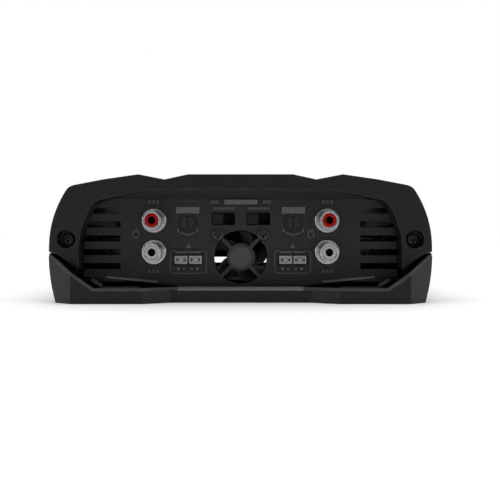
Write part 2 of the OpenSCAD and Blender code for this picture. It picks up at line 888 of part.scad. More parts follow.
module power_contacts() {
    color([0.78, 0.66, 0.36]) {
        terminal_contact(power_xs[0], 9, power_bore_r, 2.5);
        terminal_contact(power_xs[1], 6, remote_bore_r, 1.5);
        terminal_contact(power_xs[2], 9, power_bore_r, 2.5);
    }
}

// Clamp screw backed off just clear of the wire bore
module terminal_screw(x, bore_r, thread_r, length) {
    tip = wire_z + bore_r + 0.2;
    r = thread_r - 0.06;
    color(steel) difference() {
        rod_z(x, clamp_y, r, tip, tip + length);
        translate([x, clamp_y, tip + length]) cube([r * 1.5, r * 0.4, 1.6], center = true);
        translate([x, clamp_y, tip + length]) cube([r * 0.4, r * 1.5, 1.6], center = true);
    }
}

module ground_screw() { terminal_screw(power_xs[0], power_bore_r, 2.5, 6.5); }

module remote_screw() { terminal_screw(power_xs[1], remote_bore_r, 1.5, 7); }

module supply_screw() { terminal_screw(power_xs[2], power_bore_r, 2.5, 6.5); }

module speaker_socket() {
    color(dark_plastic) difference() {
        union() {
            box(speaker_x, speaker_y, speaker_z);
            box([foot_x0, speaker_x[1] - 3], [speaker_y[0], inner_y - 3], [board_top, speaker_z[0]]);
        }
        box([speaker_x[0] + speaker_wall, speaker_x[1] - speaker_wall],
            [inner_y - 2, speaker_y[1] + 1], [speaker_z[0] + speaker_wall, speaker_z[1] - speaker_wall]);
        // Notch for the plug's latch
        box([31, 39], [speaker_y[1] - 5, speaker_y[1] + 1], [speaker_z[1] - 3, speaker_z[1] + 1]);
    }
}

module speaker_pins() {
    color([0.75, 0.6, 0.3]) for (i = [-1.5:1:1.5], z = [20.4, 27.6])
        box([35 + i * 6.5 - 0.6, 35 + i * 6.5 + 0.6], [inner_y - 2, speaker_y[1] - 3], [z - 0.6, z + 0.6]);
}

module fuse_body(z) {
    box([-fuse_w / 2, fuse_w / 2], [panel_y - 4, panel_y + 8], [z - fuse_t / 2, z + fuse_t / 2]);
    for (side = [-1, 1])
        translate([side * 6.6, 0, 0])
            box([-2.6, 2.6], [panel_y - 10, panel_y - 4], [z - 0.33, z + 0.33]);
}

module fuses() { color([0.1, 0.45, 0.15]) for (z = fuse_zs) fuse_body(z); }

module fuse_holder() {
    gap = 0.3;
    color(dark_plastic) difference() {
        box([-12, 12], holder_y, holder_z);
        for (z = fuse_zs) {
            box([-fuse_w / 2 - gap, fuse_w / 2 + gap], [panel_y - 4, panel_y + 9],
                [z - fuse_t / 2 - gap, z + fuse_t / 2 + gap]);
            for (side = [-1, 1])
                translate([side * 6.6, 0, 0])
                    box([-2.8, 2.8], [panel_y - 11, panel_y - 3.9], [z - 0.5, z + 0.5]);
        }
    }
}

// ---------- one line per sub-part ----------

base_tray();
front_bumper();
rear_bumper();
heatsink_shell();
top_plate();
front_bezel();
rear_bezel();
front_panel();
rear_panel();
bezel_screws();
base_screws();
bumper_screws();
fan_frame();
fan_impeller();
fan_shaft();
fan_bearing();
fan_stator();
fan_screws();
rca_block_left();
rca_block_right();
rca_shells();
rca_inserts_red();
rca_inserts_white();
rca_contacts();
gain_pot_left();
gain_pot_right();
gain_knob_left();
gain_knob_right();
mode_switch_left();
mode_switch_right();
switch_slider_left();
switch_slider_right();
input_socket_left();
input_socket_right();
input_pins();
main_board();
control_board();
board_standoffs();
board_screws();
transformer_core();
transformer_winding();
choke_core();
choke_winding();
bulk_capacitors();
output_inductors();
transistors_left();
transistors_right();
thermal_pads();
clamp_bars();
clamp_screws();
control_chips();
power_terminal_block();
power_contacts();
ground_screw();
remote_screw();
supply_screw();
speaker_socket();
speaker_pins();
fuse_holder();
fuses();
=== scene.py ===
"""Looks of the car amplifier: soft-edged case, detailed controls, electronics, light and camera."""

import json
import math

import bmesh
import bpy
from mathutils import Matrix, Vector

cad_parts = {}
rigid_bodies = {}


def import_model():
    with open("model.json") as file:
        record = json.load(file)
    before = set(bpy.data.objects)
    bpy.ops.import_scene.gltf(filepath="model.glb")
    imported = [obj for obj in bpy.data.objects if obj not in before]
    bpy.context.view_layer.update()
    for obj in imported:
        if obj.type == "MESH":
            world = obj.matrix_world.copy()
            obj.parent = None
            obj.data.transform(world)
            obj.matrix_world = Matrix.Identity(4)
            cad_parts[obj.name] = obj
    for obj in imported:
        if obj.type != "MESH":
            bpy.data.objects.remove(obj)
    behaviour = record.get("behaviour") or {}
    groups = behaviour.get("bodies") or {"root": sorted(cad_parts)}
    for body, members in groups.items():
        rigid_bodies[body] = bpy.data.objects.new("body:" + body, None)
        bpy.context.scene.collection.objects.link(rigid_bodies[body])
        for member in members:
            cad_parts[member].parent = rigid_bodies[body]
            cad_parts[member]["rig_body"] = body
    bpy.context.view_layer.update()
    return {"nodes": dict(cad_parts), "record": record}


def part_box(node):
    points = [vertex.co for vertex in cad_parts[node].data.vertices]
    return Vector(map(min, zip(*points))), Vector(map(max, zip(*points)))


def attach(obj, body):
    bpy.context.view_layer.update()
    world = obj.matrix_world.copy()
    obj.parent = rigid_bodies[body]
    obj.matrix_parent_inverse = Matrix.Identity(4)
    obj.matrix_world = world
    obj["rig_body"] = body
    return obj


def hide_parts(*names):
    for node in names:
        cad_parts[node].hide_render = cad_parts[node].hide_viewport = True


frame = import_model()

MM = 0.001
CHASSIS = "chassis"
FRONT = Vector((0, -1, 0))
REAR = Vector((0, 1, 0))
UP = Vector((0, 0, 1))
DOWN = Vector((0, 0, -1))
slot_of = {row["node"]: row["material_slot"] for row in frame["record"]["subparts"]}


# ---------- materials ----------


def node(tree, kind, settings=None, **inputs):
    """Adds a shader node. An input is a value or another node's output."""
    made = tree.nodes.new("ShaderNode" + kind)
    for key, value in (settings or {}).items():
        setattr(made, key, value)
    for key, value in inputs.items():
        socket = made.inputs[key.replace("_", " ")]
        if isinstance(value, bpy.types.NodeSocket):
            tree.links.new(value, socket)
        else:
            socket.default_value = value
    return made


def ramp(tree, factor, low, high, start=0.3, end=0.7):
    """Colour that goes from low to high as factor goes from start to end."""
    made = node(tree, "ValToRGB", Fac=factor)
    for element, place, shade in zip(made.color_ramp.elements, (start, end), (low, high)):
        element.position = place
        element.color = (*shade, 1)
    return made.outputs["Color"]


def noise(tree, where, size_mm, detail=3.0):
    made = node(tree, "TexNoise", Vector=where, Scale=1 / (size_mm * MM), Detail=detail)
    return made.outputs["Fac"]


def mix(tree, factor, low, high):
    made = node(tree, "Mix", {"data_type": "RGBA"})
    for socket, value in zip((made.inputs[0], made.inputs[6], made.inputs[7]), (factor, low, high)):
        if isinstance(value, bpy.types.NodeSocket):
            tree.links.new(value, socket)
        else:
            socket.default_value = value
    return made.outputs[2]


def finish(name, colour, rough, metal=0.0, shade=0.12, patch=7.0, rough_span=0.07,
           grain=((0.35, 0.006),), stretch=(1, 1, 1), wear=None, painted_sheen=None, lines=None, **shader):
    """A procedural finish in object space. Sizes are in millimetres.

    shade: share by which the colour varies over patches of `patch`.
    grain: (size, height) pairs summed into the bump; stretch draws it out along an axis.
    wear: colour that shows in spots along bevelled edges.
    painted_sheen: a lighter colour painted on as highlight and reflection, in the share given by
    the mesh's "sheen_share" attribute.
    lines: (size, colour) of a network of conductor lines.
    """
    made = bpy.data.materials.new(name)
    made.use_nodes = True
    tree = made.node_tree
    bsdf = tree.nodes["Principled BSDF"]
    where = node(tree, "TexCoord").outputs["Object"]
    drawn = node(tree, "Mapping", Vector=where, Scale=[1 / s for s in stretch]).outputs["Vector"]

    patches = noise(tree, where, patch)
    tint = ramp(tree, patches, [c * (1 - shade) for c in colour], [c * (1 + shade) for c in colour])
    streaks = noise(tree, drawn, patch * 0.4)
    gloss = node(tree, "MapRange", Value=streaks, From_Min=0.3, From_Max=0.7,
                 To_Min=rough - rough_span, To_Max=rough + rough_span).outputs["Result"]
    if lines:
        cells = node(tree, "TexVoronoi", {"feature": "DISTANCE_TO_EDGE"},
                     Vector=where, Scale=1 / (lines[0] * MM), Randomness=0.55)
        track = ramp(tree, cells.outputs["Distance"], (1, 1, 1), (0, 0, 0), 0.05, 0.08)
        tint = mix(tree, track, tint, (*lines[1], 1))
    if wear:
        edge = node(tree, "Attribute", {"attribute_name": "edge"}).outputs["Fac"]
        spots = ramp(tree, noise(tree, where, 1.6, 5.0), (0, 0, 0), (1, 1, 1), 0.45, 0.75)
        worn = node(tree, "Math", {"operation": "MULTIPLY"})
        tree.links.new(edge, worn.inputs[0])
        tree.links.new(spots, worn.inputs[1])
        tint = mix(tree, worn.outputs[0], tint, (*wear, 1))
    # Painted highlight and reflection: a lighter colour is mixed in on the faces whose per-face
    # share asks for it.
    if painted_sheen:
        sheen_share = node(tree, "Attribute", {"attribute_name": "sheen_share"}).outputs["Fac"]
        tint = mix(tree, sheen_share, tint, (*painted_sheen, 1))
    bumped = None
    for size, height in grain:
        inputs = {"Normal": bumped} if bumped else {}
        bump = node(tree, "Bump", Height=noise(tree, drawn, size, 2.0), Distance=height * MM,
                    Strength=1.0, **inputs)
        bumped = bump.outputs["Normal"]

    tree.links.new(tint, bsdf.inputs["Base Color"])
    tree.links.new(gloss, bsdf.inputs["Roughness"])
    if bumped:
        tree.links.new(bumped, bsdf.inputs["Normal"])
    bsdf.inputs["Metallic"].default_value = metal
    for key, value in shader.items():
        bsdf.inputs[key.replace("_", " ")].default_value = value
    return made


POWDER_GRAIN = ((0.9, 0.010), (0.28, 0.006))
FINISHES = {
    # Painted highlight: the lighter second colour of case_powder and panel_powder stands in for
    # overhead light and the floor's reflection on the faces picked for it.
    "case_powder": finish("case_powder", (0.0072, 0.0072, 0.0075), 0.46, shade=0.22, patch=1.4,
                          grain=POWDER_GRAIN, wear=(0.04, 0.04, 0.042), painted_sheen=(0.1, 0.1, 0.103),
                          Specular_IOR_Level=0.28),
    "panel_powder": finish("panel_powder", (0.015, 0.015, 0.0155), 0.55, shade=0.18, patch=1.4,
                           grain=POWDER_GRAIN, wear=(0.04, 0.04, 0.042), painted_sheen=(0.1, 0.1, 0.103),
                           Specular_IOR_Level=0.35),
    "trim_plate": finish("trim_plate", (0.05, 0.05, 0.054), 0.34, 0.85, patch=3,
                         grain=((0.12, 0.003),), stretch=(1, 60, 1), wear=(0.25, 0.25, 0.26)),
    "black_screw": finish("black_screw", (0.022, 0.022, 0.0235), 0.36, 0.4, patch=1.2,
                          grain=((0.3, 0.004),), wear=(0.12, 0.12, 0.12)),
    "plain_screw": finish("plain_screw", (0.5, 0.5, 0.52), 0.3, 1.0, patch=1.5,
                          grain=((0.25, 0.004),), wear=(0.75, 0.75, 0.75)),
    "fan_screw": finish("fan_screw", (0.03, 0.03, 0.0315), 0.32, 0.4, patch=1.2,
                        grain=((0.3, 0.004),), wear=(0.12, 0.12, 0.12)),
    "fan_plastic": finish("fan_plastic", (0.018, 0.018, 0.0188), 0.44, grain=((0.2, 0.003),),
                          wear=(0.05, 0.05, 0.05), Specular_IOR_Level=0.45),
    "rotor_plastic": finish("rotor_plastic", (0.05, 0.05, 0.052), 0.42, grain=((0.2, 0.003),),
                            wear=(0.03, 0.03, 0.03)),
    "bearing_bronze": finish("bearing_bronze", (0.46, 0.28, 0.12), 0.4, 1.0, patch=0.8,
                             grain=((0.12, 0.004),)),
    "copper_wire": finish("copper_wire", (0.58, 0.2, 0.07), 0.28, 0.9, patch=2.0,
                          grain=((0.5, 0.004),), Coat_Weight=0.6, Coat_Roughness=0.15),
    "jack_housing": finish("jack_housing", (0.012, 0.012, 0.0125), 0.42, grain=((0.25, 0.004),)),
    "jack_shell": finish("jack_shell", (0.42, 0.42, 0.43), 0.24, 1.0, shade=0.06, patch=2.0,
                         rough_span=0.05, grain=((0.4, 0.002),)),
    "insert_red": finish("insert_red", (0.34, 0.002, 0.003), 0.42, shade=0.06,
                         grain=((0.5, 0.004),), Specular_IOR_Level=0.2),
    "insert_white": finish("insert_white", (0.42, 0.42, 0.415), 0.36, shade=0.04,
                           grain=((0.5, 0.004),)),
    "contact_metal": finish("contact_metal", (0.7, 0.5, 0.22), 0.22, 1.0, shade=0.08, patch=1.5,
                            grain=((0.3, 0.002),)),
    "pot_plastic": finish("pot_plastic", (0.01, 0.01, 0.0105), 0.48, grain=((0.25, 0.004),)),
    "knob_plastic": finish("knob_plastic", (0.006, 0.006, 0.0063), 0.46, grain=((0.2, 0.004),),
                           wear=(0.03, 0.03, 0.03)),
    "switch_plastic": finish("switch_plastic", (0.001, 0.001, 0.0011), 0.6,
                             grain=((0.25, 0.004),), Specular_IOR_Level=0.2),
    "slider_plastic": finish("slider_plastic", (0.003, 0.003, 0.0032), 0.5,
                             grain=((0.2, 0.004),), wear=(0.012, 0.012, 0.012),
                             Specular_IOR_Level=0.25),
    "socket_nylon": finish("socket_nylon", (0.34, 0.345, 0.34), 0.4, shade=0.05,
                           grain=((0.6, 0.005),)),
    "board_laminate": finish("board_laminate", (0.009, 0.011, 0.010), 0.34, shade=0.1,
                             grain=((0.5, 0.003),), lines=(4.2, (0.02, 0.025, 0.022)),
                             Coat_Weight=0.2, Coat_Roughness=0.25),
    "standoff_metal": finish("standoff_metal", (0.05, 0.05, 0.053), 0.38, 0.8, patch=1.5,
                             grain=((0.15, 0.003),)),
    "core_ferrite": finish("core_ferrite", (0.05, 0.05, 0.054), 0.55, shade=0.2, patch=1.0,
                           grain=((0.4, 0.02),), wear=(0.1, 0.1, 0.1)),
    "capacitor_sleeve": finish("capacitor_sleeve", (0.012, 0.016, 0.04), 0.3, shade=0.08,
                               grain=((2.0, 0.02),), Coat_Weight=0.3, Coat_Roughness=0.25),
    "inductor_case": finish("inductor_case", (0.06, 0.06, 0.064), 0.62, shade=0.25, patch=0.6,
                            grain=((0.3, 0.012),), wear=(0.12, 0.12, 0.12)),
    "device_epoxy": finish("device_epoxy", (0.014, 0.014, 0.014), 0.5, grain=((0.18, 0.006),)),
    "pad_silicone": finish("pad_silicone", (0.02, 0.021, 0.022), 0.7, grain=((0.6, 0.012),)),
    "bar_steel": finish("bar_steel", (0.035, 0.035, 0.037), 0.42, 0.7, patch=3.0,
                        grain=((0.2, 0.004),), stretch=(1, 30, 1)),
    "terminal_plastic": finish("terminal_plastic", (0.013, 0.013, 0.0135), 0.44,
                               grain=((0.3, 0.005),), wear=(0.04, 0.04, 0.04)),
    "terminal_metal": finish("terminal_metal", (0.6, 0.56, 0.49), 0.26, 1.0, patch=1.5,
                             grain=((0.3, 0.003),), wear=(0.85, 0.8, 0.7)),
    "fuse_body": finish("fuse_body", (0.03, 0.5, 0.1), 0.2, shade=0.05, grain=((1.2, 0.006),),
                        Transmission_Weight=0.55, IOR=1.5),
    # Painted shade: this contact metal is darkened to stand in for the shade deep in the jacks' pin
    # holes.
    "contact_painted_shade": finish("contact_painted_shade", (0.07, 0.055, 0.035), 0.45, 1.0, shade=0.08, patch=1.5,
                           grain=((0.3, 0.002),)),
    "tinned": finish("tinned", (0.3, 0.3, 0.31), 0.42, 1.0, shade=0.08, patch=1.0,
                     grain=((0.3, 0.004),)),
    "can_aluminium": finish("can_aluminium", (0.6, 0.6, 0.61), 0.32, 1.0, shade=0.05,
                            grain=((0.3, 0.003),)),
    "ink": finish("ink", (0.115, 0.115, 0.117), 0.5, shade=0.2, patch=0.5, grain=((0.2, 0.003),)),
    "ink_faint": finish("ink_faint", (0.062, 0.062, 0.063), 0.5, shade=0.2, patch=0.5,
                        grain=((0.2, 0.003),)),
    "badge_ink": finish("badge_ink", (0.06, 0.06, 0.0615), 0.45, shade=0.15, patch=0.5,
                        grain=((0.2, 0.003),)),
    "stripe_ink": finish("stripe_ink", (0.35, 0.36, 0.38), 0.35, shade=0.06,
                         grain=((0.4, 0.003),)),
}


# ---------- mesh helpers, all in millimetres until a piece is added ----------


def facing(at, outward):
    """Matrix with its origin at `at`, local Z along `outward` and local Y as near up as it goes."""
    turn = Vector(outward).to_track_quat("Z", "Y").to_matrix().to_4x4()
    return Matrix.Translation(at) @ turn


def across_from(y):
    """Matrix that lays an outline in the XZ plane at `y` and extrudes it towards the front."""
    return Matrix.Translation((0, y, 0)) @ Matrix.Rotation(math.radians(90), 4, "X")


def lathe(bm, profile, place, segments=48, closed=True, arc=(0, 360)):
    """Turns (radius, distance) points about local Z. A part arc gets end faces."""
    full = arc[1] >= 360
    count = segments if full else segments + 1
    columns = []
    for i in range(count):
        a = math.radians(arc[0] + arc[1] * i / segments)
        columns.append([
            bm.verts.new(place @ Vector((r * math.cos(a), r * math.sin(a), d))) for r, d in profile
        ])
    steps = len(profile) if closed else len(profile) - 1
    for i in range(segments):
        one, two = columns[i], columns[(i + 1) % count]
        for j in range(steps):
            k = (j + 1) % len(profile)
            bm.faces.new((one[j], two[j], two[k], one[k]))
    if not full:
        bm.faces.new(columns[0])
        bm.faces.new(columns[-1])


def spindle(bm, profile, place, segments=48):
    """Turned solid whose profile starts and ends on the axis."""
    lathe(bm, [(max(r, 1e-4), d) for r, d in profile], place, segments, closed=False)


def rounded(width, height, radius, steps=5):
    """Outline of a rectangle with round corners, about the origin."""
    points = []
    for quarter, (sx, sy) in enumerate(((1, 1), (-1, 1), (-1, -1), (1, -1))):
        cx, cy = sx * (width / 2 - radius), sy * (height / 2 - radius)
        for i in range(steps + 1):
            a = math.radians(90 * quarter + 90 * i / steps)
            points.append((cx + radius * math.cos(a), cy + radius * math.sin(a)))
    return points


def prism(bm, outline, low, high, place=Matrix(), edge=0.0):
    """Extrudes an outline from low to high along local Z, with its edges rounded by `edge`."""
    rings = [[bm.verts.new(place @ Vector((x, y, d))) for x, y in outline] for d in (low, high)]
    faces = [bm.faces.new(rings[0][::-1]), bm.faces.new(rings[1])]
    count = len(outline)
    for i in range(count):
        k = (i + 1) % count
        faces.append(bm.faces.new((rings[0][i], rings[0][k], rings[1][k], rings[1][i])))
    if edge:
        round_edges(bm, {e for f in faces for e in f.edges}, edge)


def block(bm, low, high, edge=0.0):
    """Box between two corners, with its edges rounded by `edge`."""
    half = (Vector(high) - Vector(low)) / 2
    place = Matrix.Translation(((low[0] + high[0]) / 2, (low[1] + high[1]) / 2, 0))
    w, d = half.x, half.y
    prism(bm, [(-w, -d), (w, -d), (w, d), (-w, d)], low[2], high[2], place, edge)


def round_edges(bm, edges, width, segments=2, sharp_deg=25):
    """Bevels the sharp edges among `edges` and marks the new faces as edge."""
    bm.normal_update()
    mark = bm.faces.layers.float.get("edge") or bm.faces.layers.float.new("edge")
    sharp = [e for e in edges
             if e.is_manifold and e.calc_face_angle(0) > math.radians(sharp_deg)]
    made = bmesh.ops.bevel(bm, geom=sharp, offset=width, offset_type="OFFSET", segments=segments,
                           profile=0.5, affect="EDGES", clamp_overlap=False)
    for face in made["faces"]:
        face[mark] = 1.0


def sweep(bm, path, radius, sides=8, closed=False):
    """Round tube along a path of points."""
    path = [Vector(p) for p in path]
    count = len(path)
    rings = []
    normal = None
    for i, point in enumerate(path):
        ahead = path[(i + 1) % count] if closed or i < count - 1 else point
        behind = path[i - 1] if closed or i > 0 else point
        along = (ahead - behind).normalized()
        if normal is None:
            normal = along.orthogonal().normalized()
        normal = (normal - along * normal.dot(along)).normalized()
        side = along.cross(normal)
        rings.append([
            bm.verts.new(point + radius * (math.cos(a) * normal + math.sin(a) * side))
            for a in (2 * math.pi * k / sides for k in range(sides))
        ])
    for i in range(count if closed else count - 1):
        one, two = rings[i], rings[(i + 1) % count]
        for k in range(sides):
            n = (k + 1) % sides
            bm.faces.new((one[k], one[n], two[n], two[k]))
    if not closed:
        bm.faces.new(rings[0])
        bm.faces.new(rings[-1])


def add_piece(name, bm, finish_name, body=CHASSIS, slot=None, stands_for=(), smooth_deg=35,
              in_mm=True):
    """Turns a bmesh into a named piece that rides on a body."""
    if in_mm:
        bmesh.ops.scale(bm, vec=(MM, MM, MM), verts=bm.verts)
    bmesh.ops.recalc_face_normals(bm, faces=bm.faces)
    mesh = bpy.data.meshes.new(name)
    bm.to_mesh(mesh)
    bm.free()
    mesh.shade_smooth()
    mesh.set_sharp_from_angle(angle=math.radians(smooth_deg))
    mesh.materials.append(FINISHES[finish_name])
    made = bpy.data.objects.new(name, mesh)
    bpy.context.scene.collection.objects.link(made)
    weighted = made.modifiers.new("even_shading", "WEIGHTED_NORMAL")
    weighted.keep_sharp = True
    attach(made, body)
    if stands_for:
        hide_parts(*stands_for)
    return made


def stand_in(name, bm, cad_node, finish_name=None, **more):
    """Adds a piece that stands for one CAD node, on its body, with the finish named by its slot
    unless one is given.
    """
    slot = slot_of[cad_node]
    return add_piece(name, bm, finish_name or slot, frame["nodes"][cad_node]["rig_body"], slot,
                     (cad_node,), **more)


def cad_mesh(cad_node):
    """The CAD node's mesh in millimetres, with flat faces whole again."""
    bm = bmesh.new()
    bm.from_mesh(frame["nodes"][cad_node].data)
    bmesh.ops.scale(bm, vec=(1 / MM,) * 3, verts=bm.verts)
    bmesh.ops.remove_doubles(bm, verts=bm.verts, dist=0.002)
    bmesh.ops.dissolve_limit(bm, angle_limit=math.radians(0.3), verts=bm.verts, edges=bm.edges)
    return bm


def faces_meet(edge, one, two):
    """Whether `one` and `two` each hold for the normal of one of the edge's faces."""
    if not edge.is_manifold or not edge.is_convex:
        return False
    a, b = (face.normal for face in edge.link_faces)
    return (one(a) and two(b)) or (one(b) and two(a))


def soften(cad_node, width, segments=2, chamfer=None, sheen_faces=(), shortest=0.0):
    """Stands for a CAD node with a copy whose edges are rounded.

    chamfer: (width, sheen, chosen), a wide flat edge in place of the edges that `chosen` picks,
    with a painted highlight in the share `sheen`.
    sheen_faces: (sheen, chosen) pairs, the share of painted highlight on the faces that `chosen`
    picks.
    shortest: edges shorter than this are closed up first.
    """
    bm = cad_mesh(cad_node)
    if shortest:
        bmesh.ops.dissolve_degenerate(bm, dist=shortest, edges=bm.edges)
    sheen_share = bm.faces.layers.float.new("sheen_share")
    bm.faces.layers.float.new("edge")
    bm.normal_update()
    # Painted highlight: picked faces and wide chamfers get a share of a lighter painted colour,
    # standing in for light that falls or reflects on them.
    for share, chosen in sheen_faces:
        for face in filter(chosen, bm.faces):
            face[sheen_share] = share
    if chamfer:
        flat, share, chosen = chamfer
        wide = [e for e in bm.edges if chosen(e)]
        made = bmesh.ops.bevel(bm, geom=wide, offset=flat, offset_type="OFFSET", segments=1,
                               affect="EDGES", clamp_overlap=False)
        for face in made["faces"]:
            face[sheen_share] = share
    round_edges(bm, bm.edges, width, segments)
    return stand_in(cad_node + "_detailed", bm, cad_node)


def solids(cad_node):
    """(lowest, highest) corner in millimetres of each separate solid of a CAD node."""
    bm = cad_mesh(cad_node)
    left, found = set(bm.verts), []
    while left:
        reached = [left.pop()]
        for vert in reached:
            for edge in vert.link_edges:
                other = edge.other_vert(vert)
                if other in left:
                    left.remove(other)
                    reached.append(other)
        low = Vector([min(v.co[i] for v in reached) for i in range(3)])
        high = Vector([max(v.co[i] for v in reached) for i in range(3)])
        found.append((low, high))
    bm.free()
    return sorted(found, key=lambda pair: tuple(round(c, 2) for c in pair[0]))


def mm_box(cad_node):
    low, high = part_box(cad_node)
    return low / MM, high / MM


# ---------- screws ----------


def cross_depth(x, y, reach, width):
    """1 inside a cross recess, 0 outside, with sloping walls."""
    def arm(along, across):
        soft = width * 0.35
        inside = min((width - abs(across)) / soft, (reach - abs(along)) / soft)
        return max(0.0, min(1.0, inside))
    return max(arm(x, y), arm(y, x))


def domed_head(bm, place, radius, height, recess=0.62, sides=64, rings=16):
    """Pan head with a cross recess, its seat at local Z 0."""
    depth = height * 0.8
    columns = []
    for k in range(sides):
        a = 2 * math.pi * k / sides
        column = []
        for i in range(1, rings + 1):
            r = radius * i / rings
            x, y = r * math.cos(a), r * math.sin(a)
            top = height * (1 - 0.16 * (i / rings) ** 2 - 0.3 * (i / rings) ** 10)
            sunk = cross_depth(x, y, radius * recess, radius * 0.17) * (1 - 0.4 * i / rings)
            column.append(bm.verts.new(place @ Vector((x, y, top - depth * sunk))))
        column.append(bm.verts.new(
            place @ Vector((radius * math.cos(a), radius * math.sin(a), height * 0.12))))
        column.append(bm.verts.new(
            place @ Vector((radius * 0.94 * math.cos(a), radius * 0.94 * math.sin(a), 0))))
        columns.append(column)
    middle = bm.verts.new(place @ Vector((0, 0, height - depth)))
    foot = bm.verts.new(place @ Vector((0, 0, 0)))
    for k in range(sides):
        one, two = columns[k], columns[(k + 1) % sides]
        bm.faces.new((middle, one[0], two[0]))
        bm.faces.new((foot, two[-1], one[-1]))
        for i in range(len(one) - 1):
            bm.faces.new((one[i], two[i], two[i + 1], one[i + 1]))


def threaded(bm, place, radius, length, pitch, blunt=0.6):
    """Shank with thread ridges, going down local Z from 0."""
    profile = [(0, -0.02), (radius * 0.86, -0.02)]
    turns = max(2, int((length - blunt) / pitch))
    for i in range(turns):
        start = -0.02 - i * (length - blunt) / turns
        step = (length - blunt) / turns
        profile += [(radius * 0.84, start - step * 0.3), (radius, start - step * 0.65)]
    profile += [(radius * 0.84, -length + blunt), (radius * 0.55, -length), (0, -length)]
    spindle(bm, profile, place, 24)


def dress_screws(cad_node, outward, head_height, shank_radius, pitch=0.7, finish_name=None):
    """Stands for a node of screws. `outward` gives the head's direction from a screw's middle."""
    bm = bmesh.new()
    for low, high in solids(cad_node):
        middle, half = (low + high) / 2, (high - low) / 2
        away = outward(middle)
        reach = abs(half.dot(away))
        radius = min(value for value, part in zip(half, away) if not part)
        seat = middle + away * (reach - head_height)
        place = facing(seat, away)
        domed_head(bm, place, radius, head_height)
        threaded(bm, place, shank_radius, 2 * reach - head_height, pitch)
    stand_in(cad_node + "_detailed", bm, cad_node, finish_name)


def nearer_end(middle):
    return FRONT if middle.y < 0 else REAR


def inward_x(middle):
    return Vector((-math.copysign(1, middle.x), 0, 0))


# ---------- case ----------


def lip_face(face):
    """The upward slope of the folded lip at the foot of an end panel, which gets a painted
    highlight.
    """
    return face.calc_center_median().z < 14 and 0.5 < face.normal.z < 0.9


def sill_face(face):
    """The slope between a bumper's two noses, which gets a painted highlight."""
    return abs(face.calc_center_median().x) < 27 and 0.5 < face.normal.z < 0.9


def gusset_face(face):
    """The slopes of the small corner gussets inside a bumper, painted lighter where they sit in
    shade.
    """
    middle = face.calc_center_median()
    return 50 < abs(middle.x) < 70 and middle.z > 3 and 0.4 < face.normal.z < 0.8


def dress_end(end, outward):
    """Bumper with a wide chamfer round its rim, and bezel with chamfered legs and a visor.

    A painted highlight lightens the rim chamfer, the sill and the gussets, a painted reflection
    lightens the legs' lower chamfers, and painted light lightens the shaded visor.
    """
    leg_top, rim_chamfer, leg_chamfer, sliver = 22, 1.2, 0.5, 0.3

    def rim_edge(edge):
        return faces_meet(edge, lambda n: n.z > 0.75, lambda n: n.dot(outward) > 0.3)

    def leg_edge(edge):
        low = max(vert.co.z for vert in edge.verts) < leg_top
        return low and faces_meet(edge, lambda n: -0.95 < n.z < -0.5,
                                  lambda n: n.dot(outward) > 0.9)

    def visor_face(face):
        return face.normal.z < -0.7 and 0.2 < face.normal.dot(outward)

    # Painted highlight on the rim chamfer, the sill and the gussets; painted reflection of the
    # floor on the legs' lower chamfers; painted light on the shaded visor.
    soften(end + "_bumper", 0.25, 2, chamfer=(rim_chamfer, 0.1, rim_edge),
           sheen_faces=((0.9, sill_face), (1.0, gusset_face)))
    soften(end + "_bezel", 0.35, 3, chamfer=(leg_chamfer, 1.0, leg_edge),
           sheen_faces=((0.25, visor_face),), shortest=sliver)


def seam_gasket():
    """Dark strips that close the outer ends of the seams between bezels and bumpers."""
    inner_x, inset, setback, depth = 79, 0.7, 0.8, 6
    below, above = 0.5, 0.7
    bm = bmesh.new()
    for end, outward in (("front", -1), ("rear", 1)):
        low, high = mm_box(end + "_bezel")
        outer_x = high.x - inset
        face = (low.y if outward < 0 else high.y) - outward * setback
        near, far = sorted((face, face - outward * depth))
        seam_z = mm_box(end + "_bumper")[1].z
        for side in (-1, 1):
            left, right = sorted((side * inner_x, side * outer_x))
            block(bm, (left, near, seam_z - below), (right, far, seam_z + above), 0.1)
    add_piece("seam_gasket", bm, "pot_plastic", slot="terminal_plastic")


soften("base_tray", 0.3, 3)
soften("heatsink_shell", 0.3, 3)
soften("top_plate", 0.12, 3)
# The panels' foot lips get a painted highlight, standing in for light from above on the folded
# edge.
soften("front_panel", 0.15, 3, sheen_faces=((0.9, lip_face),))
soften("rear_panel", 0.15, 3, sheen_faces=((0.9, lip_face),))
dress_end("front", FRONT)
dress_end("rear", REAR)
seam_gasket()
dress_screws("bezel_screws", nearer_end, 1.8, 1.45)
dress_screws("base_screws", lambda middle: DOWN, 1.5, 1.45)
dress_screws("bumper_screws", lambda middle: DOWN, 1.5, 1.4)
dress_screws("board_screws", lambda middle: UP, 1.8, 1.25, 0.5)
dress_screws("clamp_screws", inward_x, 1.8, 1.45, finish_name="black_screw")
dress_screws("fan_screws", lambda middle: FRONT, 1.5, 1.45)


# ---------- phono jacks ----------


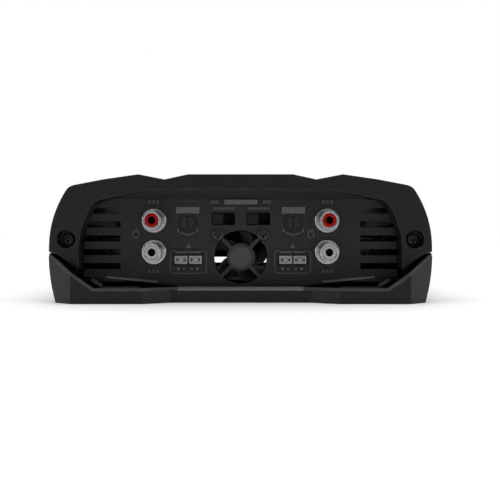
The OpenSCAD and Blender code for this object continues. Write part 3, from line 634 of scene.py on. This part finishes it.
def jack_shells():
    """Nickel-plated sleeves with a rolled lip, a flange on the panel and a narrower root."""
    bore, tube, root, roll = 3.05, 4.15, 3.95, 0.25
    flange_back, flange_front = 6.5, 7.1
    bm = bmesh.new()
    for low, high in solids("rca_shells"):
        middle, flange = (low + high) / 2, (high.x - low.x) / 2
        length = high.y - low.y
        place = facing((middle.x, high.y, middle.z), FRONT)
        turn = [math.radians(a) for a in (0, 30, 60, 90)]
        lip = [(tube - roll + roll * math.cos(a), length - roll + roll * math.sin(a)) for a in turn]
        inner = [(bore + roll - roll * math.sin(a), length - roll + roll * math.cos(a))
                 for a in turn]
        lathe(bm, [(bore, 0), (root, 0), (root, flange_back), (flange, flange_back),
                   (flange, flange_front - 0.12), (flange - 0.15, flange_front),
                   (tube + 0.12, flange_front), (tube, flange_front + 0.12), (tube, length - 1.5),
                   (tube - 0.06, length - 1.4), (tube - 0.06, length - 1.1), (tube, length - 1.0)]
              + lip + inner, place, 64)
    stand_in("rca_shells_detailed", bm, "rca_shells")


def jack_inserts(cad_node):
    """Moulded insulators with a groove round the pin hole."""
    hole, contact, seat = 1.7, 2.0, 1.6
    bm = bmesh.new()
    for low, high in solids(cad_node):
        middle, radius = (low + high) / 2, (high.x - low.x) / 2
        length = high.y - low.y
        place = facing((middle.x, high.y, middle.z), FRONT)
        lathe(bm, [(contact, 0), (radius, 0), (radius, length - 0.3),
                   (radius - 0.08, length - 0.08), (radius - 0.25, length), (2.5, length),
                   (2.4, length - 0.14), (2.15, length - 0.14), (2.05, length - 0.02),
                   (hole + 0.15, length - 0.04), (hole, length - 0.25), (hole, length - seat),
                   (contact, length - seat)], place, 64)
    stand_in(cad_node + "_detailed", bm, cad_node)


def jack_contacts():
    """Split sleeves behind the pin holes, darkened with painted shade for the depth of the holes.
    """
    wall, cup, slit_deg = 0.35, 6, 12
    bm = bmesh.new()
    for low, high in solids("rca_contacts"):
        middle, radius = (low + high) / 2, (high.x - low.x) / 2
        length = high.y - low.y
        place = facing((middle.x, high.y, middle.z), FRONT)
        inner = radius - wall
        lathe(bm, [(0.01, 0), (radius, 0), (radius, cup), (inner, cup), (inner, 1), (0.01, 1)],
              place, 40)
        for quarter in range(4):
            lathe(bm, [(inner, cup), (radius, cup), (radius, length - 0.1),
                       (radius - 0.1, length), (radius - 0.3, length), (inner, length - 0.2)],
                  place, 10, arc=(45 + 90 * quarter + slit_deg / 2, 90 - slit_deg))
    stand_in("rca_contacts_detailed", bm, "rca_contacts", "contact_painted_shade")


for side in ("left", "right"):
    soften("rca_block_" + side, 0.2, 2)
jack_shells()
jack_inserts("rca_inserts_red")
jack_inserts("rca_inserts_white")
jack_contacts()


# ---------- gain controls, switches and input sockets ----------


def slide_nub(cad_node):
    """Slider with a ribbed thumb nub in front of its carriage."""
    low, high = mm_box(cad_node)
    nub_depth, shoulder, ribs, rib_depth = 2.6, 0.6, 4, 0.16
    base_front = low.y + nub_depth
    left, right = low.x + shoulder, high.x - shoulder
    pitch = (right - left) / ribs
    bm = bmesh.new()
    outline = [(left, base_front + 0.3)]
    for i in range(ribs):
        x = left + i * pitch
        outline += [(x + pitch * 0.05, low.y + rib_depth), (x + pitch * 0.25, low.y),
                    (x + pitch * 0.75, low.y), (x + pitch * 0.95, low.y + rib_depth)]
    outline.append((right, base_front + 0.3))
    prism(bm, outline, low.z + shoulder, high.z - shoulder, Matrix(), 0.07)
    block(bm, (low.x, base_front, low.z), high, 0.15)
    stand_in(cad_node + "_detailed", bm, cad_node)


for side in ("left", "right"):
    soften("gain_pot_" + side, 0.15)
    soften("gain_knob_" + side, 0.14)
    soften("mode_switch_" + side, 0.12)
    soften("input_socket_" + side, 0.14)
    slide_nub("switch_slider_" + side)


def square_pins(cad_node, along):
    """Pins with a chamfered tip at their `along` end."""
    taper = 0.9
    bm = bmesh.new()
    for low, high in solids(cad_node):
        tip = high.y if along > 0 else low.y
        root = low.y if along > 0 else high.y
        w, h = (high.x - low.x) / 2, (high.z - low.z) / 2
        x, z = (low.x + high.x) / 2, (low.z + high.z) / 2
        rings = [(root, 1.0), (tip - along * taper, 1.0), (tip - along * taper * 0.3, 0.7),
                 (tip, 0.3)]
        loops = [[bm.verts.new((x + w * k * sx, y, z + h * k * sz))
                  for sx, sz in ((1, 1), (-1, 1), (-1, -1), (1, -1))] for y, k in rings]
        for one, two in zip(loops, loops[1:]):
            for i in range(4):
                n = (i + 1) % 4
                bm.faces.new((one[i], one[n], two[n], two[i]))
        bm.faces.new(loops[0])
        bm.faces.new(loops[-1])
    stand_in(cad_node + "_detailed", bm, cad_node)


def socket_keys():
    """Moulded keys that fill the noses of the input sockets around each pair of pins."""
    floor, reach = 2.8, 2.2
    edge_x, edge_z, inner, slot = 2.05, 1.05, 0.95, 0.45
    pins = sorted(solids("input_pins"), key=lambda pin: pin[0].x)
    for side, group in (("left", pins[:4]), ("right", pins[4:])):
        back = mm_box("input_socket_" + side)[0].y + floor
        front = back - reach
        bm = bmesh.new()
        for one, two in (group[:2], group[2:]):
            x, z = (one[0].x + two[1].x) / 2, (one[0].z + one[1].z) / 2
            block(bm, (x - inner, front, z - edge_z), (x + inner, back, z + edge_z), 0.06)
            for left, right in ((-edge_x, -inner), (inner, edge_x)):
                for bottom, top in ((slot, edge_z), (-edge_z, -slot)):
                    block(bm, (x + left, front, z + bottom), (x + right, back, z + top), 0.06)
        add_piece("input_socket_keys_" + side, bm, "socket_nylon", slot="socket_nylon")


socket_keys()
square_pins("input_pins", -1)
square_pins("speaker_pins", 1)


# ---------- fan ----------


def impeller():
    """Hub cup with swept, cambered blades."""
    low, high = mm_box("fan_impeller")
    hub_r, hub_wall, tip_r = 6.4, 0.7, 11.3
    blades, first_deg, pitch_deg, sweep_deg, thick = 5, 5, 38, 18, 0.8
    middle = (low + high) / 2
    depth = high.y - low.y
    bm = bmesh.new()
    place = facing((middle.x, high.y, middle.z), FRONT)
    lathe(bm, [(1.0, 0), (hub_r - 0.4, 0), (hub_r - 0.1, 0.1), (hub_r, 0.4), (hub_r, depth - 0.15),
               (hub_r - 0.15, depth), (hub_r - hub_wall, depth), (hub_r - hub_wall, 1.0),
               (2.4, 1.0), (2.2, 1.9), (1.0, 1.9)], place, 64)
    along, across = 10, 8
    for blade in range(blades):
        root = math.radians(-(first_deg + 360 / blades * blade))
        grid = []
        for i in range(along + 1):
            u = i / along
            r = hub_r - 0.25 + (tip_r - hub_r + 0.25) * u
            row = []
            for j in range(across + 1):
                v = j / across - 0.5
                round_off = 1 - 0.22 * max(0.0, u - 0.75) / 0.25 * (2 * abs(v)) ** 3
                y = v * (depth - 0.5) * round_off
                slide = y * math.tan(math.radians(pitch_deg)) + 0.9 * (0.25 - v * v)
                a = root + slide / r + math.radians(sweep_deg) * u * u
                row.append(bm.verts.new((middle.x + r * math.cos(a), middle.y + y,
                                         middle.z + r * math.sin(a))))
            grid.append(row)
        faces = [bm.faces.new((grid[i][j], grid[i + 1][j], grid[i + 1][j + 1], grid[i][j + 1]))
                 for i in range(along) for j in range(across)]
        bmesh.ops.recalc_face_normals(bm, faces=faces)
        bmesh.ops.solidify(bm, geom=faces, thickness=thick)
    stand_in("fan_impeller_detailed", bm, "fan_impeller", smooth_deg=50)


def fan_hub_badge():
    """Round label over the fan's bearing, with raised rings and a circle of dots."""
    label_r, dot_circle_r, dots = 4.4, 2.7, 8
    low, high = mm_box("fan_frame")
    face, middle_z = low.y, (low.z + high.z) / 2
    place = facing((0, face, middle_z), FRONT)
    bm = bmesh.new()
    spindle(bm, [(0, -0.05), (label_r, -0.05), (label_r, 0.04), (label_r - 0.1, 0.1), (0, 0.1)],
            place)
    for radius, width in ((4.9, 0.3), (1.5, 0.4)):
        lathe(bm, [(radius - width, -0.05), (radius, -0.05), (radius, 0.12), (radius - 0.08, 0.18),
                   (radius - width + 0.08, 0.18), (radius - width, 0.12)], place, 48)
    for i in range(dots):
        a = math.radians(360 / dots * i)
        dot = facing((dot_circle_r * math.cos(a), face, middle_z + dot_circle_r * math.sin(a)),
                     FRONT)
        lathe(bm, [(0.35, 0.08), (0.75, 0.08), (0.75, 0.3), (0.35, 0.3)], dot, 16)
    add_piece("fan_hub_badge", bm, "badge_ink", slot="fan_plastic")


soften("fan_frame", 0.3, 3)
soften("fan_stator", 0.25)
soften("fan_bearing", 0.1)
soften("fan_shaft", 0.15)
impeller()
fan_hub_badge()


# ---------- boards and their components ----------

soften("main_board", 0.12)
soften("control_board", 0.12)
soften("board_standoffs", 0.2)
soften("thermal_pads", 0.08)
soften("clamp_bars", 0.3)
soften("output_inductors", 1.1, 3)


def wound_core(core_node, winding_node, turns, r_in):
    """Rounded ferrite ring and separate round wire loops through it."""
    low, high = mm_box(core_node)
    outer_low, outer_high = mm_box(winding_node)
    centre, r_out = (low + high) / 2, (high.x - low.x) / 2
    build = low.x - outer_low.x
    ring = bmesh.new()
    place = Matrix.Translation((centre.x, centre.y, low.z))
    height, soft = high.z - low.z, 0.7
    lathe(ring, [(r_in + soft, 0), (r_out - soft, 0), (r_out, soft), (r_out, height - soft),
                 (r_out - soft, height), (r_in + soft, height), (r_in, height - soft),
                 (r_in, soft)], place, 64)
    stand_in(core_node + "_detailed", ring, core_node, smooth_deg=50)
    wire = bmesh.new()
    gauge = 0.5
    gap = build - gauge
    middle_r, span = (r_in + r_out) / 2, r_out - r_in + 2 * gap
    loop = rounded(span, outer_high.z - outer_low.z - 2 * gauge, 1.4, 4)
    level = (outer_low.z + outer_high.z) / 2
    for i in range(turns):
        a = 2 * math.pi * i / turns
        out = Vector((math.cos(a), math.sin(a), 0))
        hub = Vector((centre.x, centre.y, level))
        sweep(wire, [hub + out * (middle_r + x) + UP * z for x, z in loop], gauge, 8, True)
    stand_in(winding_node + "_detailed", wire, winding_node)


def capacitors():
    """Electrolytic cans: shrink sleeve with a crimp bead, bare vented top and a stripe."""
    sleeves, tops, stripes = bmesh.new(), bmesh.new(), bmesh.new()
    for low, high in solids("bulk_capacitors"):
        centre, r, h = (low + high) / 2, (high.x - low.x) / 2, high.z - low.z
        place = Matrix.Translation((centre.x, centre.y, low.z))
        lathe(sleeves, [(0.05, 0), (r - 0.7, 0), (r - 0.15, 0.4), (r, 1.2), (r, 2.2),
                        (r - 0.55, 3.0), (r, 3.8), (r, h - 0.9), (r - 0.3, h - 0.25),
                        (r - 0.9, h - 0.05), (r - 1.4, h - 0.05), (r - 1.4, h - 0.5),
                        (0.05, h - 0.5)], place, 56)
        domed_head(tops, place @ Matrix.Translation((0, 0, h - 0.52)), r - 1.45, 0.45, 0.9, 64, 20)
        lathe(stripes, [(r - 0.02, 4.4), (r + 0.04, 4.4), (r + 0.04, h - 1.2), (r - 0.02, h - 1.2)],
              place, 12, arc=(-20, 40))
    stand_in("bulk_capacitors_detailed", sleeves, "bulk_capacitors", smooth_deg=50)
    add_piece("capacitor_tops", tops, "can_aluminium", slot="capacitor_sleeve")
    add_piece("capacitor_stripes", stripes, "stripe_ink", slot="capacitor_sleeve")


def power_devices(cad_node):
    """Moulded bodies with a sloped lower half, a clamp dimple and three bent legs each."""
    leg_height, thickness = 4.2, 4.5
    bodies, legs = bmesh.new(), bmesh.new()
    for low, high in solids(cad_node):
        side = math.copysign(1, low.x)
        inner = min(abs(low.x), abs(high.x))
        z = low.z + leg_height
        outline = [(side * inner, z + 1.0), (side * (inner + 0.5), z), (side * (inner + 2.6), z),
                   (side * (inner + thickness), z + 0.4), (side * (inner + thickness), high.z),
                   (side * (inner + 3.2), high.z), (side * (inner + 1.2), high.z - 2.6),
                   (side * inner, high.z - 3.2)]
        prism(bodies, outline, 0, high.y - low.y, across_from(high.y), 0.2)
        spindle(bodies, [(0, 0), (1.6, 0), (1.6, -0.12), (1.3, -0.3), (0, -0.3)],
                facing((side * (inner + 0.02), (low.y + high.y) / 2, z + 9.5),
                       Vector((side, 0, 0))), 24)
        for shift in (-2.54, 0, 2.54):
            y = (low.y + high.y) / 2 + shift
            x = side * (inner + 1.95)
            block(legs, (x - 0.25, y - 0.65, z - 1.6), (x + 0.25, y + 0.65, z + 0.3), 0.08)
            block(legs, (x - 0.25, y - 0.38, low.z - 0.1), (x + 0.25, y + 0.38, z - 1.5), 0.08)
    stand_in(cad_node + "_detailed", bodies, cad_node)
    add_piece(cad_node + "_legs", legs, "tinned", slot=slot_of[cad_node])


def chips():
    """Small-outline packages with gull-wing leads and a pin-one dimple."""
    bodies, leads = bmesh.new(), bmesh.new()
    lead_pitch, lead_w, reach = 1.27, 0.42, 1.1
    for low, high in solids("control_chips"):
        middle = (low + high) / 2
        w, d, h = high.x - low.x - 2 * reach, high.y - low.y, high.z - low.z
        left, right = middle.x - w / 2, middle.x + w / 2
        outline = [(left + 0.35, low.z + 0.15), (right - 0.35, low.z + 0.15),
                   (right, low.z + h * 0.5), (right - 0.35, high.z), (left + 0.35, high.z),
                   (left, low.z + h * 0.5)]
        prism(bodies, outline, 0, d, across_from(high.y), 0.1)
        lathe(bodies, [(0.35, -0.05), (0.5, -0.05), (0.5, 0.02), (0.35, 0.02)],
              facing((left + 1.3, low.y + 1.3, high.z), UP), 20)
        count = int((d - 1) / lead_pitch)
        for i in range(count):
            y = middle.y + (i - (count - 1) / 2) * lead_pitch - lead_w / 2
            for s, base in ((-1, left), (1, right)):
                bent = [(base, low.z + h * 0.55), (base + s * 0.5, low.z + h * 0.55),
                        (base + s * 0.75, low.z + 0.25), (base + s * reach, low.z + 0.2),
                        (base + s * reach, low.z), (base + s * 0.55, low.z),
                        (base + s * 0.35, low.z + h * 0.4), (base, low.z + h * 0.4)]
                prism(leads, bent, 0, lead_w, across_from(y + lead_w))
    stand_in("control_chips_detailed", bodies, "control_chips")
    add_piece("control_chip_leads", leads, "tinned", slot="device_epoxy")


wound_core("transformer_core", "transformer_winding", 24, 8.5)
wound_core("choke_core", "choke_winding", 14, 5)
capacitors()
for side in ("left", "right"):
    power_devices("transistors_" + side)
chips()


# ---------- rear terminals ----------


def set_screws(cad_node):
    """Threaded clamp screw with a cross recess and a rounded thrust tip."""
    low, high = mm_box(cad_node)
    centre, radius = (low + high) / 2, (high.x - low.x) / 2
    bm = bmesh.new()
    top = facing((centre.x, centre.y, high.z - 0.9), UP)
    domed_head(bm, top, radius, 0.9, 0.8)
    threaded(bm, top, radius, high.z - low.z - 0.9, 0.8)
    stand_in(cad_node + "_detailed", bm, cad_node)


def blade_fuses():
    """Translucent bodies with moulded shoulders and a window rib, and tinned blades."""
    bodies, blades = bmesh.new(), bmesh.new()
    body_depth, blade_w, blade_t = 12, 5.2, 0.66
    for low, high in solids("fuses"):
        z = (low.z + high.z) / 2
        half_w, half_t, front = (high.x - low.x) / 2, (high.z - low.z) / 2, high.y - body_depth
        outline = [(-half_w, front), (half_w, front), (half_w, high.y - 1.6),
                   (half_w - 1.2, high.y - 0.9), (half_w - 1.2, high.y), (2.2, high.y),
                   (1.6, high.y - 1.3), (-1.6, high.y - 1.3), (-2.2, high.y),
                   (-half_w + 1.2, high.y), (-half_w + 1.2, high.y - 0.9), (-half_w, high.y - 1.6)]
        prism(bodies, outline, low.z, high.z, Matrix(), 0.3)
        for s in (-1, 1):
            block(bodies, (-half_w + 2.5, front + 2.2, z + s * half_t - 0.1),
                  (half_w - 2.5, front + 6.8, z + s * half_t + 0.1), 0.08)
            x = s * 6.6
            block(blades, (x - blade_w / 2, low.y, z - blade_t / 2),
                  (x + blade_w / 2, high.y - 2.5, z + blade_t / 2), 0.12)
        sweep(blades, [(-6.6, high.y - 5, z), (-3, high.y - 4.2, z), (-1, high.y - 2.8, z),
                       (1, high.y - 2.8, z), (3, high.y - 4.2, z), (6.6, high.y - 5, z)], 0.35)
    stand_in("fuses_detailed", bodies, "fuses")
    add_piece("fuse_blades", blades, "tinned", slot="fuse_body")


soften("power_terminal_block", 0.35, 3)
soften("power_contacts", 0.2)
soften("speaker_socket", 0.3, 3)
soften("fuse_holder", 0.35, 3)
for clamp in ("ground_screw", "remote_screw", "supply_screw"):
    set_screws(clamp)
blade_fuses()


# ---------- printed marks, generic shapes only ----------

INK_BACK, INK_FRONT = -0.02, 0.03


class Print:
    """Thin marks on a flat face, placed by x and height in millimetres."""

    def __init__(self, face_y, outward):
        self.bm = bmesh.new()
        self.face_y = face_y
        self.outward = outward
        self.sign = -outward.y

    def place(self, x, z):
        return facing((x, self.face_y, z), self.outward)

    def bar(self, x, z, width, height, radius=0.12):
        radius = min(radius, width / 2.2, height / 2.2)
        prism(self.bm, rounded(width, height, radius, 3), INK_BACK, INK_FRONT, self.place(x, z))

    def row(self, x, z, width, height, count, fill=0.76):
        pitch = width / count
        for i in range(count):
            self.bar(x - width / 2 + (i + 0.5) * pitch, z, pitch * fill, height)

    def arc(self, x, z, radius, start, span, thick):
        lathe(self.bm, [(radius - thick, INK_BACK), (radius, INK_BACK), (radius, INK_FRONT),
                        (radius - thick, INK_FRONT)], self.place(x, z), 24, arc=(start, span))

    def frame(self, x, z, width, height, radius, thick):
        outer = rounded(width, height, radius, 6)
        inner = rounded(width - 2 * thick, height - 2 * thick, radius - thick, 6)
        place = self.place(x, z)
        section = ((outer, INK_BACK), (outer, INK_FRONT), (inner, INK_FRONT), (inner, INK_BACK))
        loops = [[self.bm.verts.new(place @ Vector((px, py, d))) for px, py in ring]
                 for ring, d in section]
        count = len(outer)
        for one, two in zip(loops, loops[1:] + loops[:1]):
            for i in range(count):
                n = (i + 1) % count
                self.bm.faces.new((one[i], one[n], two[n], two[i]))

    def triangle(self, x, z, size):
        points = [(-size * 0.55, -size * 0.45), (size * 0.55, -size * 0.45), (0, size * 0.55)]
        prism(self.bm, points, INK_BACK, INK_FRONT, self.place(x, z))

    def plus(self, x, z, size, thick, upright=True):
        self.bar(x, z, size, thick, 0.05)
        if upright:
            self.bar(x, z + (size + thick) / 4, thick, (size - thick) / 2, 0.05)
            self.bar(x, z - (size + thick) / 4, thick, (size - thick) / 2, 0.05)


def front_marks():
    face = mm_box("front_panel")[0].y
    bold, faint = Print(face, FRONT), Print(face, FRONT)
    bold.row(0.2, 43.4, 14.6, 2.1, 17, 0.86)
    for x in (-11.4, 11.6):
        faint.row(x, 43.4, 3.6, 1.5, 3)
    faint.row(-7.4, 40.6, 9.4, 1.2, 7)
    faint.row(8.0, 40.6, 9.4, 1.2, 7)
    for s in (-1, 1):
        gain_x = s * 23.3
        bold.row(gain_x, 39.8, 10.4, 2.9, 10, 0.86)
        faint.arc(gain_x, 34.6, 5.9, 236, 68, 0.7)
        for dx in (-4.3, 4.3):
            faint.bar(gain_x + dx, 30.9, 0.9, 1.5)
        socket_x = s * 22.95
        faint.frame(socket_x, 17.0, 16.2, 10.3, 1.5, 0.4)
        for dx in (-3.05, 3.05):
            faint.bar(socket_x + dx, 21.5, 5.2, 1.1)
        for dx, marks in ((-4.4, bold), (-2.0, faint), (1.4, faint), (3.9, bold)):
            marks.bar(socket_x + dx, 14.0, 1.1, 1.0)
        faint.triangle(socket_x, 24.1, 2.2)
        for z in (43.4, 12.9):
            faint.row(s * 38.3, z, 5.2, 1.5, 3, 0.6)
    for x in (-46.0, 31.0):
        faint.frame(x, 29.4, 2.9, 3.9, 1.2, 0.5)
        faint.bar(x, 30.2, 0.9, 0.9, 0.4)
    add_piece("front_print_bold", bold.bm, "ink")
    add_piece("front_print_fine", faint.bm, "ink_faint")


def rear_marks():
    marks = Print(mm_box("rear_panel")[1].y, REAR)
    for x, z in ((-44.5, 36.2), (-35, 36.2), (-25.5, 36.2), (-6, 43.2), (6, 43.2)):
        marks.row(x, z, 5.4, 1.5, 4)
    marks.plus(-25.5, 13.2, 2.4, 0.5)
    marks.plus(-44.5, 13.2, 2.4, 0.5, upright=False)
    marks.row(35, 34.6, 16, 1.6, 12)
    for i in range(4):
        marks.plus(25.2 + 6.5 * i, 13.6, 1.8, 0.45, upright=i % 2 == 0)
    add_piece("rear_print", marks.bm, "ink")


front_marks()
rear_marks()


# ---------- floor, light and camera ----------


def build_floor():
    bm = bmesh.new()
    bmesh.ops.create_grid(bm, x_segments=1, y_segments=1, size=30)
    mesh = bpy.data.meshes.new("floor")
    bm.to_mesh(mesh)
    bm.free()
    mesh.materials.append(finish("floor_paper", (0.92, 0.92, 0.92), 0.8, shade=0.004, patch=400,
                                 grain=((4, 0.02),)))
    floor = bpy.data.objects.new("floor", mesh)
    bpy.context.scene.collection.objects.link(floor)


def build_light():
    """Bright paper surround, a dimmer fill, a broad soft light overhead and one at each side."""
    world = bpy.data.worlds.new("studio")
    bpy.context.scene.world = world
    world.use_nodes = True
    tree = world.node_tree
    tree.nodes.clear()
    fill = node(tree, "Background", Color=(1, 1, 1, 1), Strength=0.12)
    paper = node(tree, "Background", Color=(1, 1, 1, 1), Strength=1.0)
    seen = node(tree, "LightPath").outputs["Is Camera Ray"]
    both = node(tree, "MixShader", Fac=seen)
    tree.links.new(fill.outputs[0], both.inputs[1])
    tree.links.new(paper.outputs[0], both.inputs[2])
    node(tree, "OutputWorld", Surface=both.outputs[0])
    sky = bpy.data.lights.new("overhead_softbox", "SUN")
    sky.energy = 3.3
    sky.angle = math.radians(100)
    overhead = bpy.data.objects.new("overhead_softbox", sky)
    overhead.rotation_euler = (math.radians(-12), 0, 0)
    bpy.context.scene.collection.objects.link(overhead)
    for name, side in (("left", -1), ("right", 1)):
        panel = bpy.data.lights.new(name + "_softbox", "AREA")
        panel.shape, panel.size, panel.size_y = "RECTANGLE", 0.9, 0.5
        panel.energy = 3.5
        softbox = bpy.data.objects.new(name + "_softbox", panel)
        softbox.location = (side * 1.3, -0.55, 0.35)
        aim = Vector((0, -0.08, 0.03)) - softbox.location
        softbox.rotation_euler = aim.to_track_quat("-Z", "Y").to_euler()
        bpy.context.scene.collection.objects.link(softbox)


def build_camera():
    lens = bpy.data.cameras.new("camera")
    lens.sensor_width = 36
    lens.lens = 55.26
    lens.shift_x, lens.shift_y = 0.019, -0.0205
    lens.clip_start, lens.clip_end = 0.01, 100
    camera = bpy.data.objects.new("camera", lens)
    camera.location = (0, -0.419, 0.027)
    camera.rotation_euler = (math.radians(90), 0, 0)
    bpy.context.scene.collection.objects.link(camera)
    bpy.context.scene.camera = camera


build_floor()
build_light()
build_camera()
bpy.context.scene.view_settings.view_transform = "Standard"

bpy.context.view_layer.update()
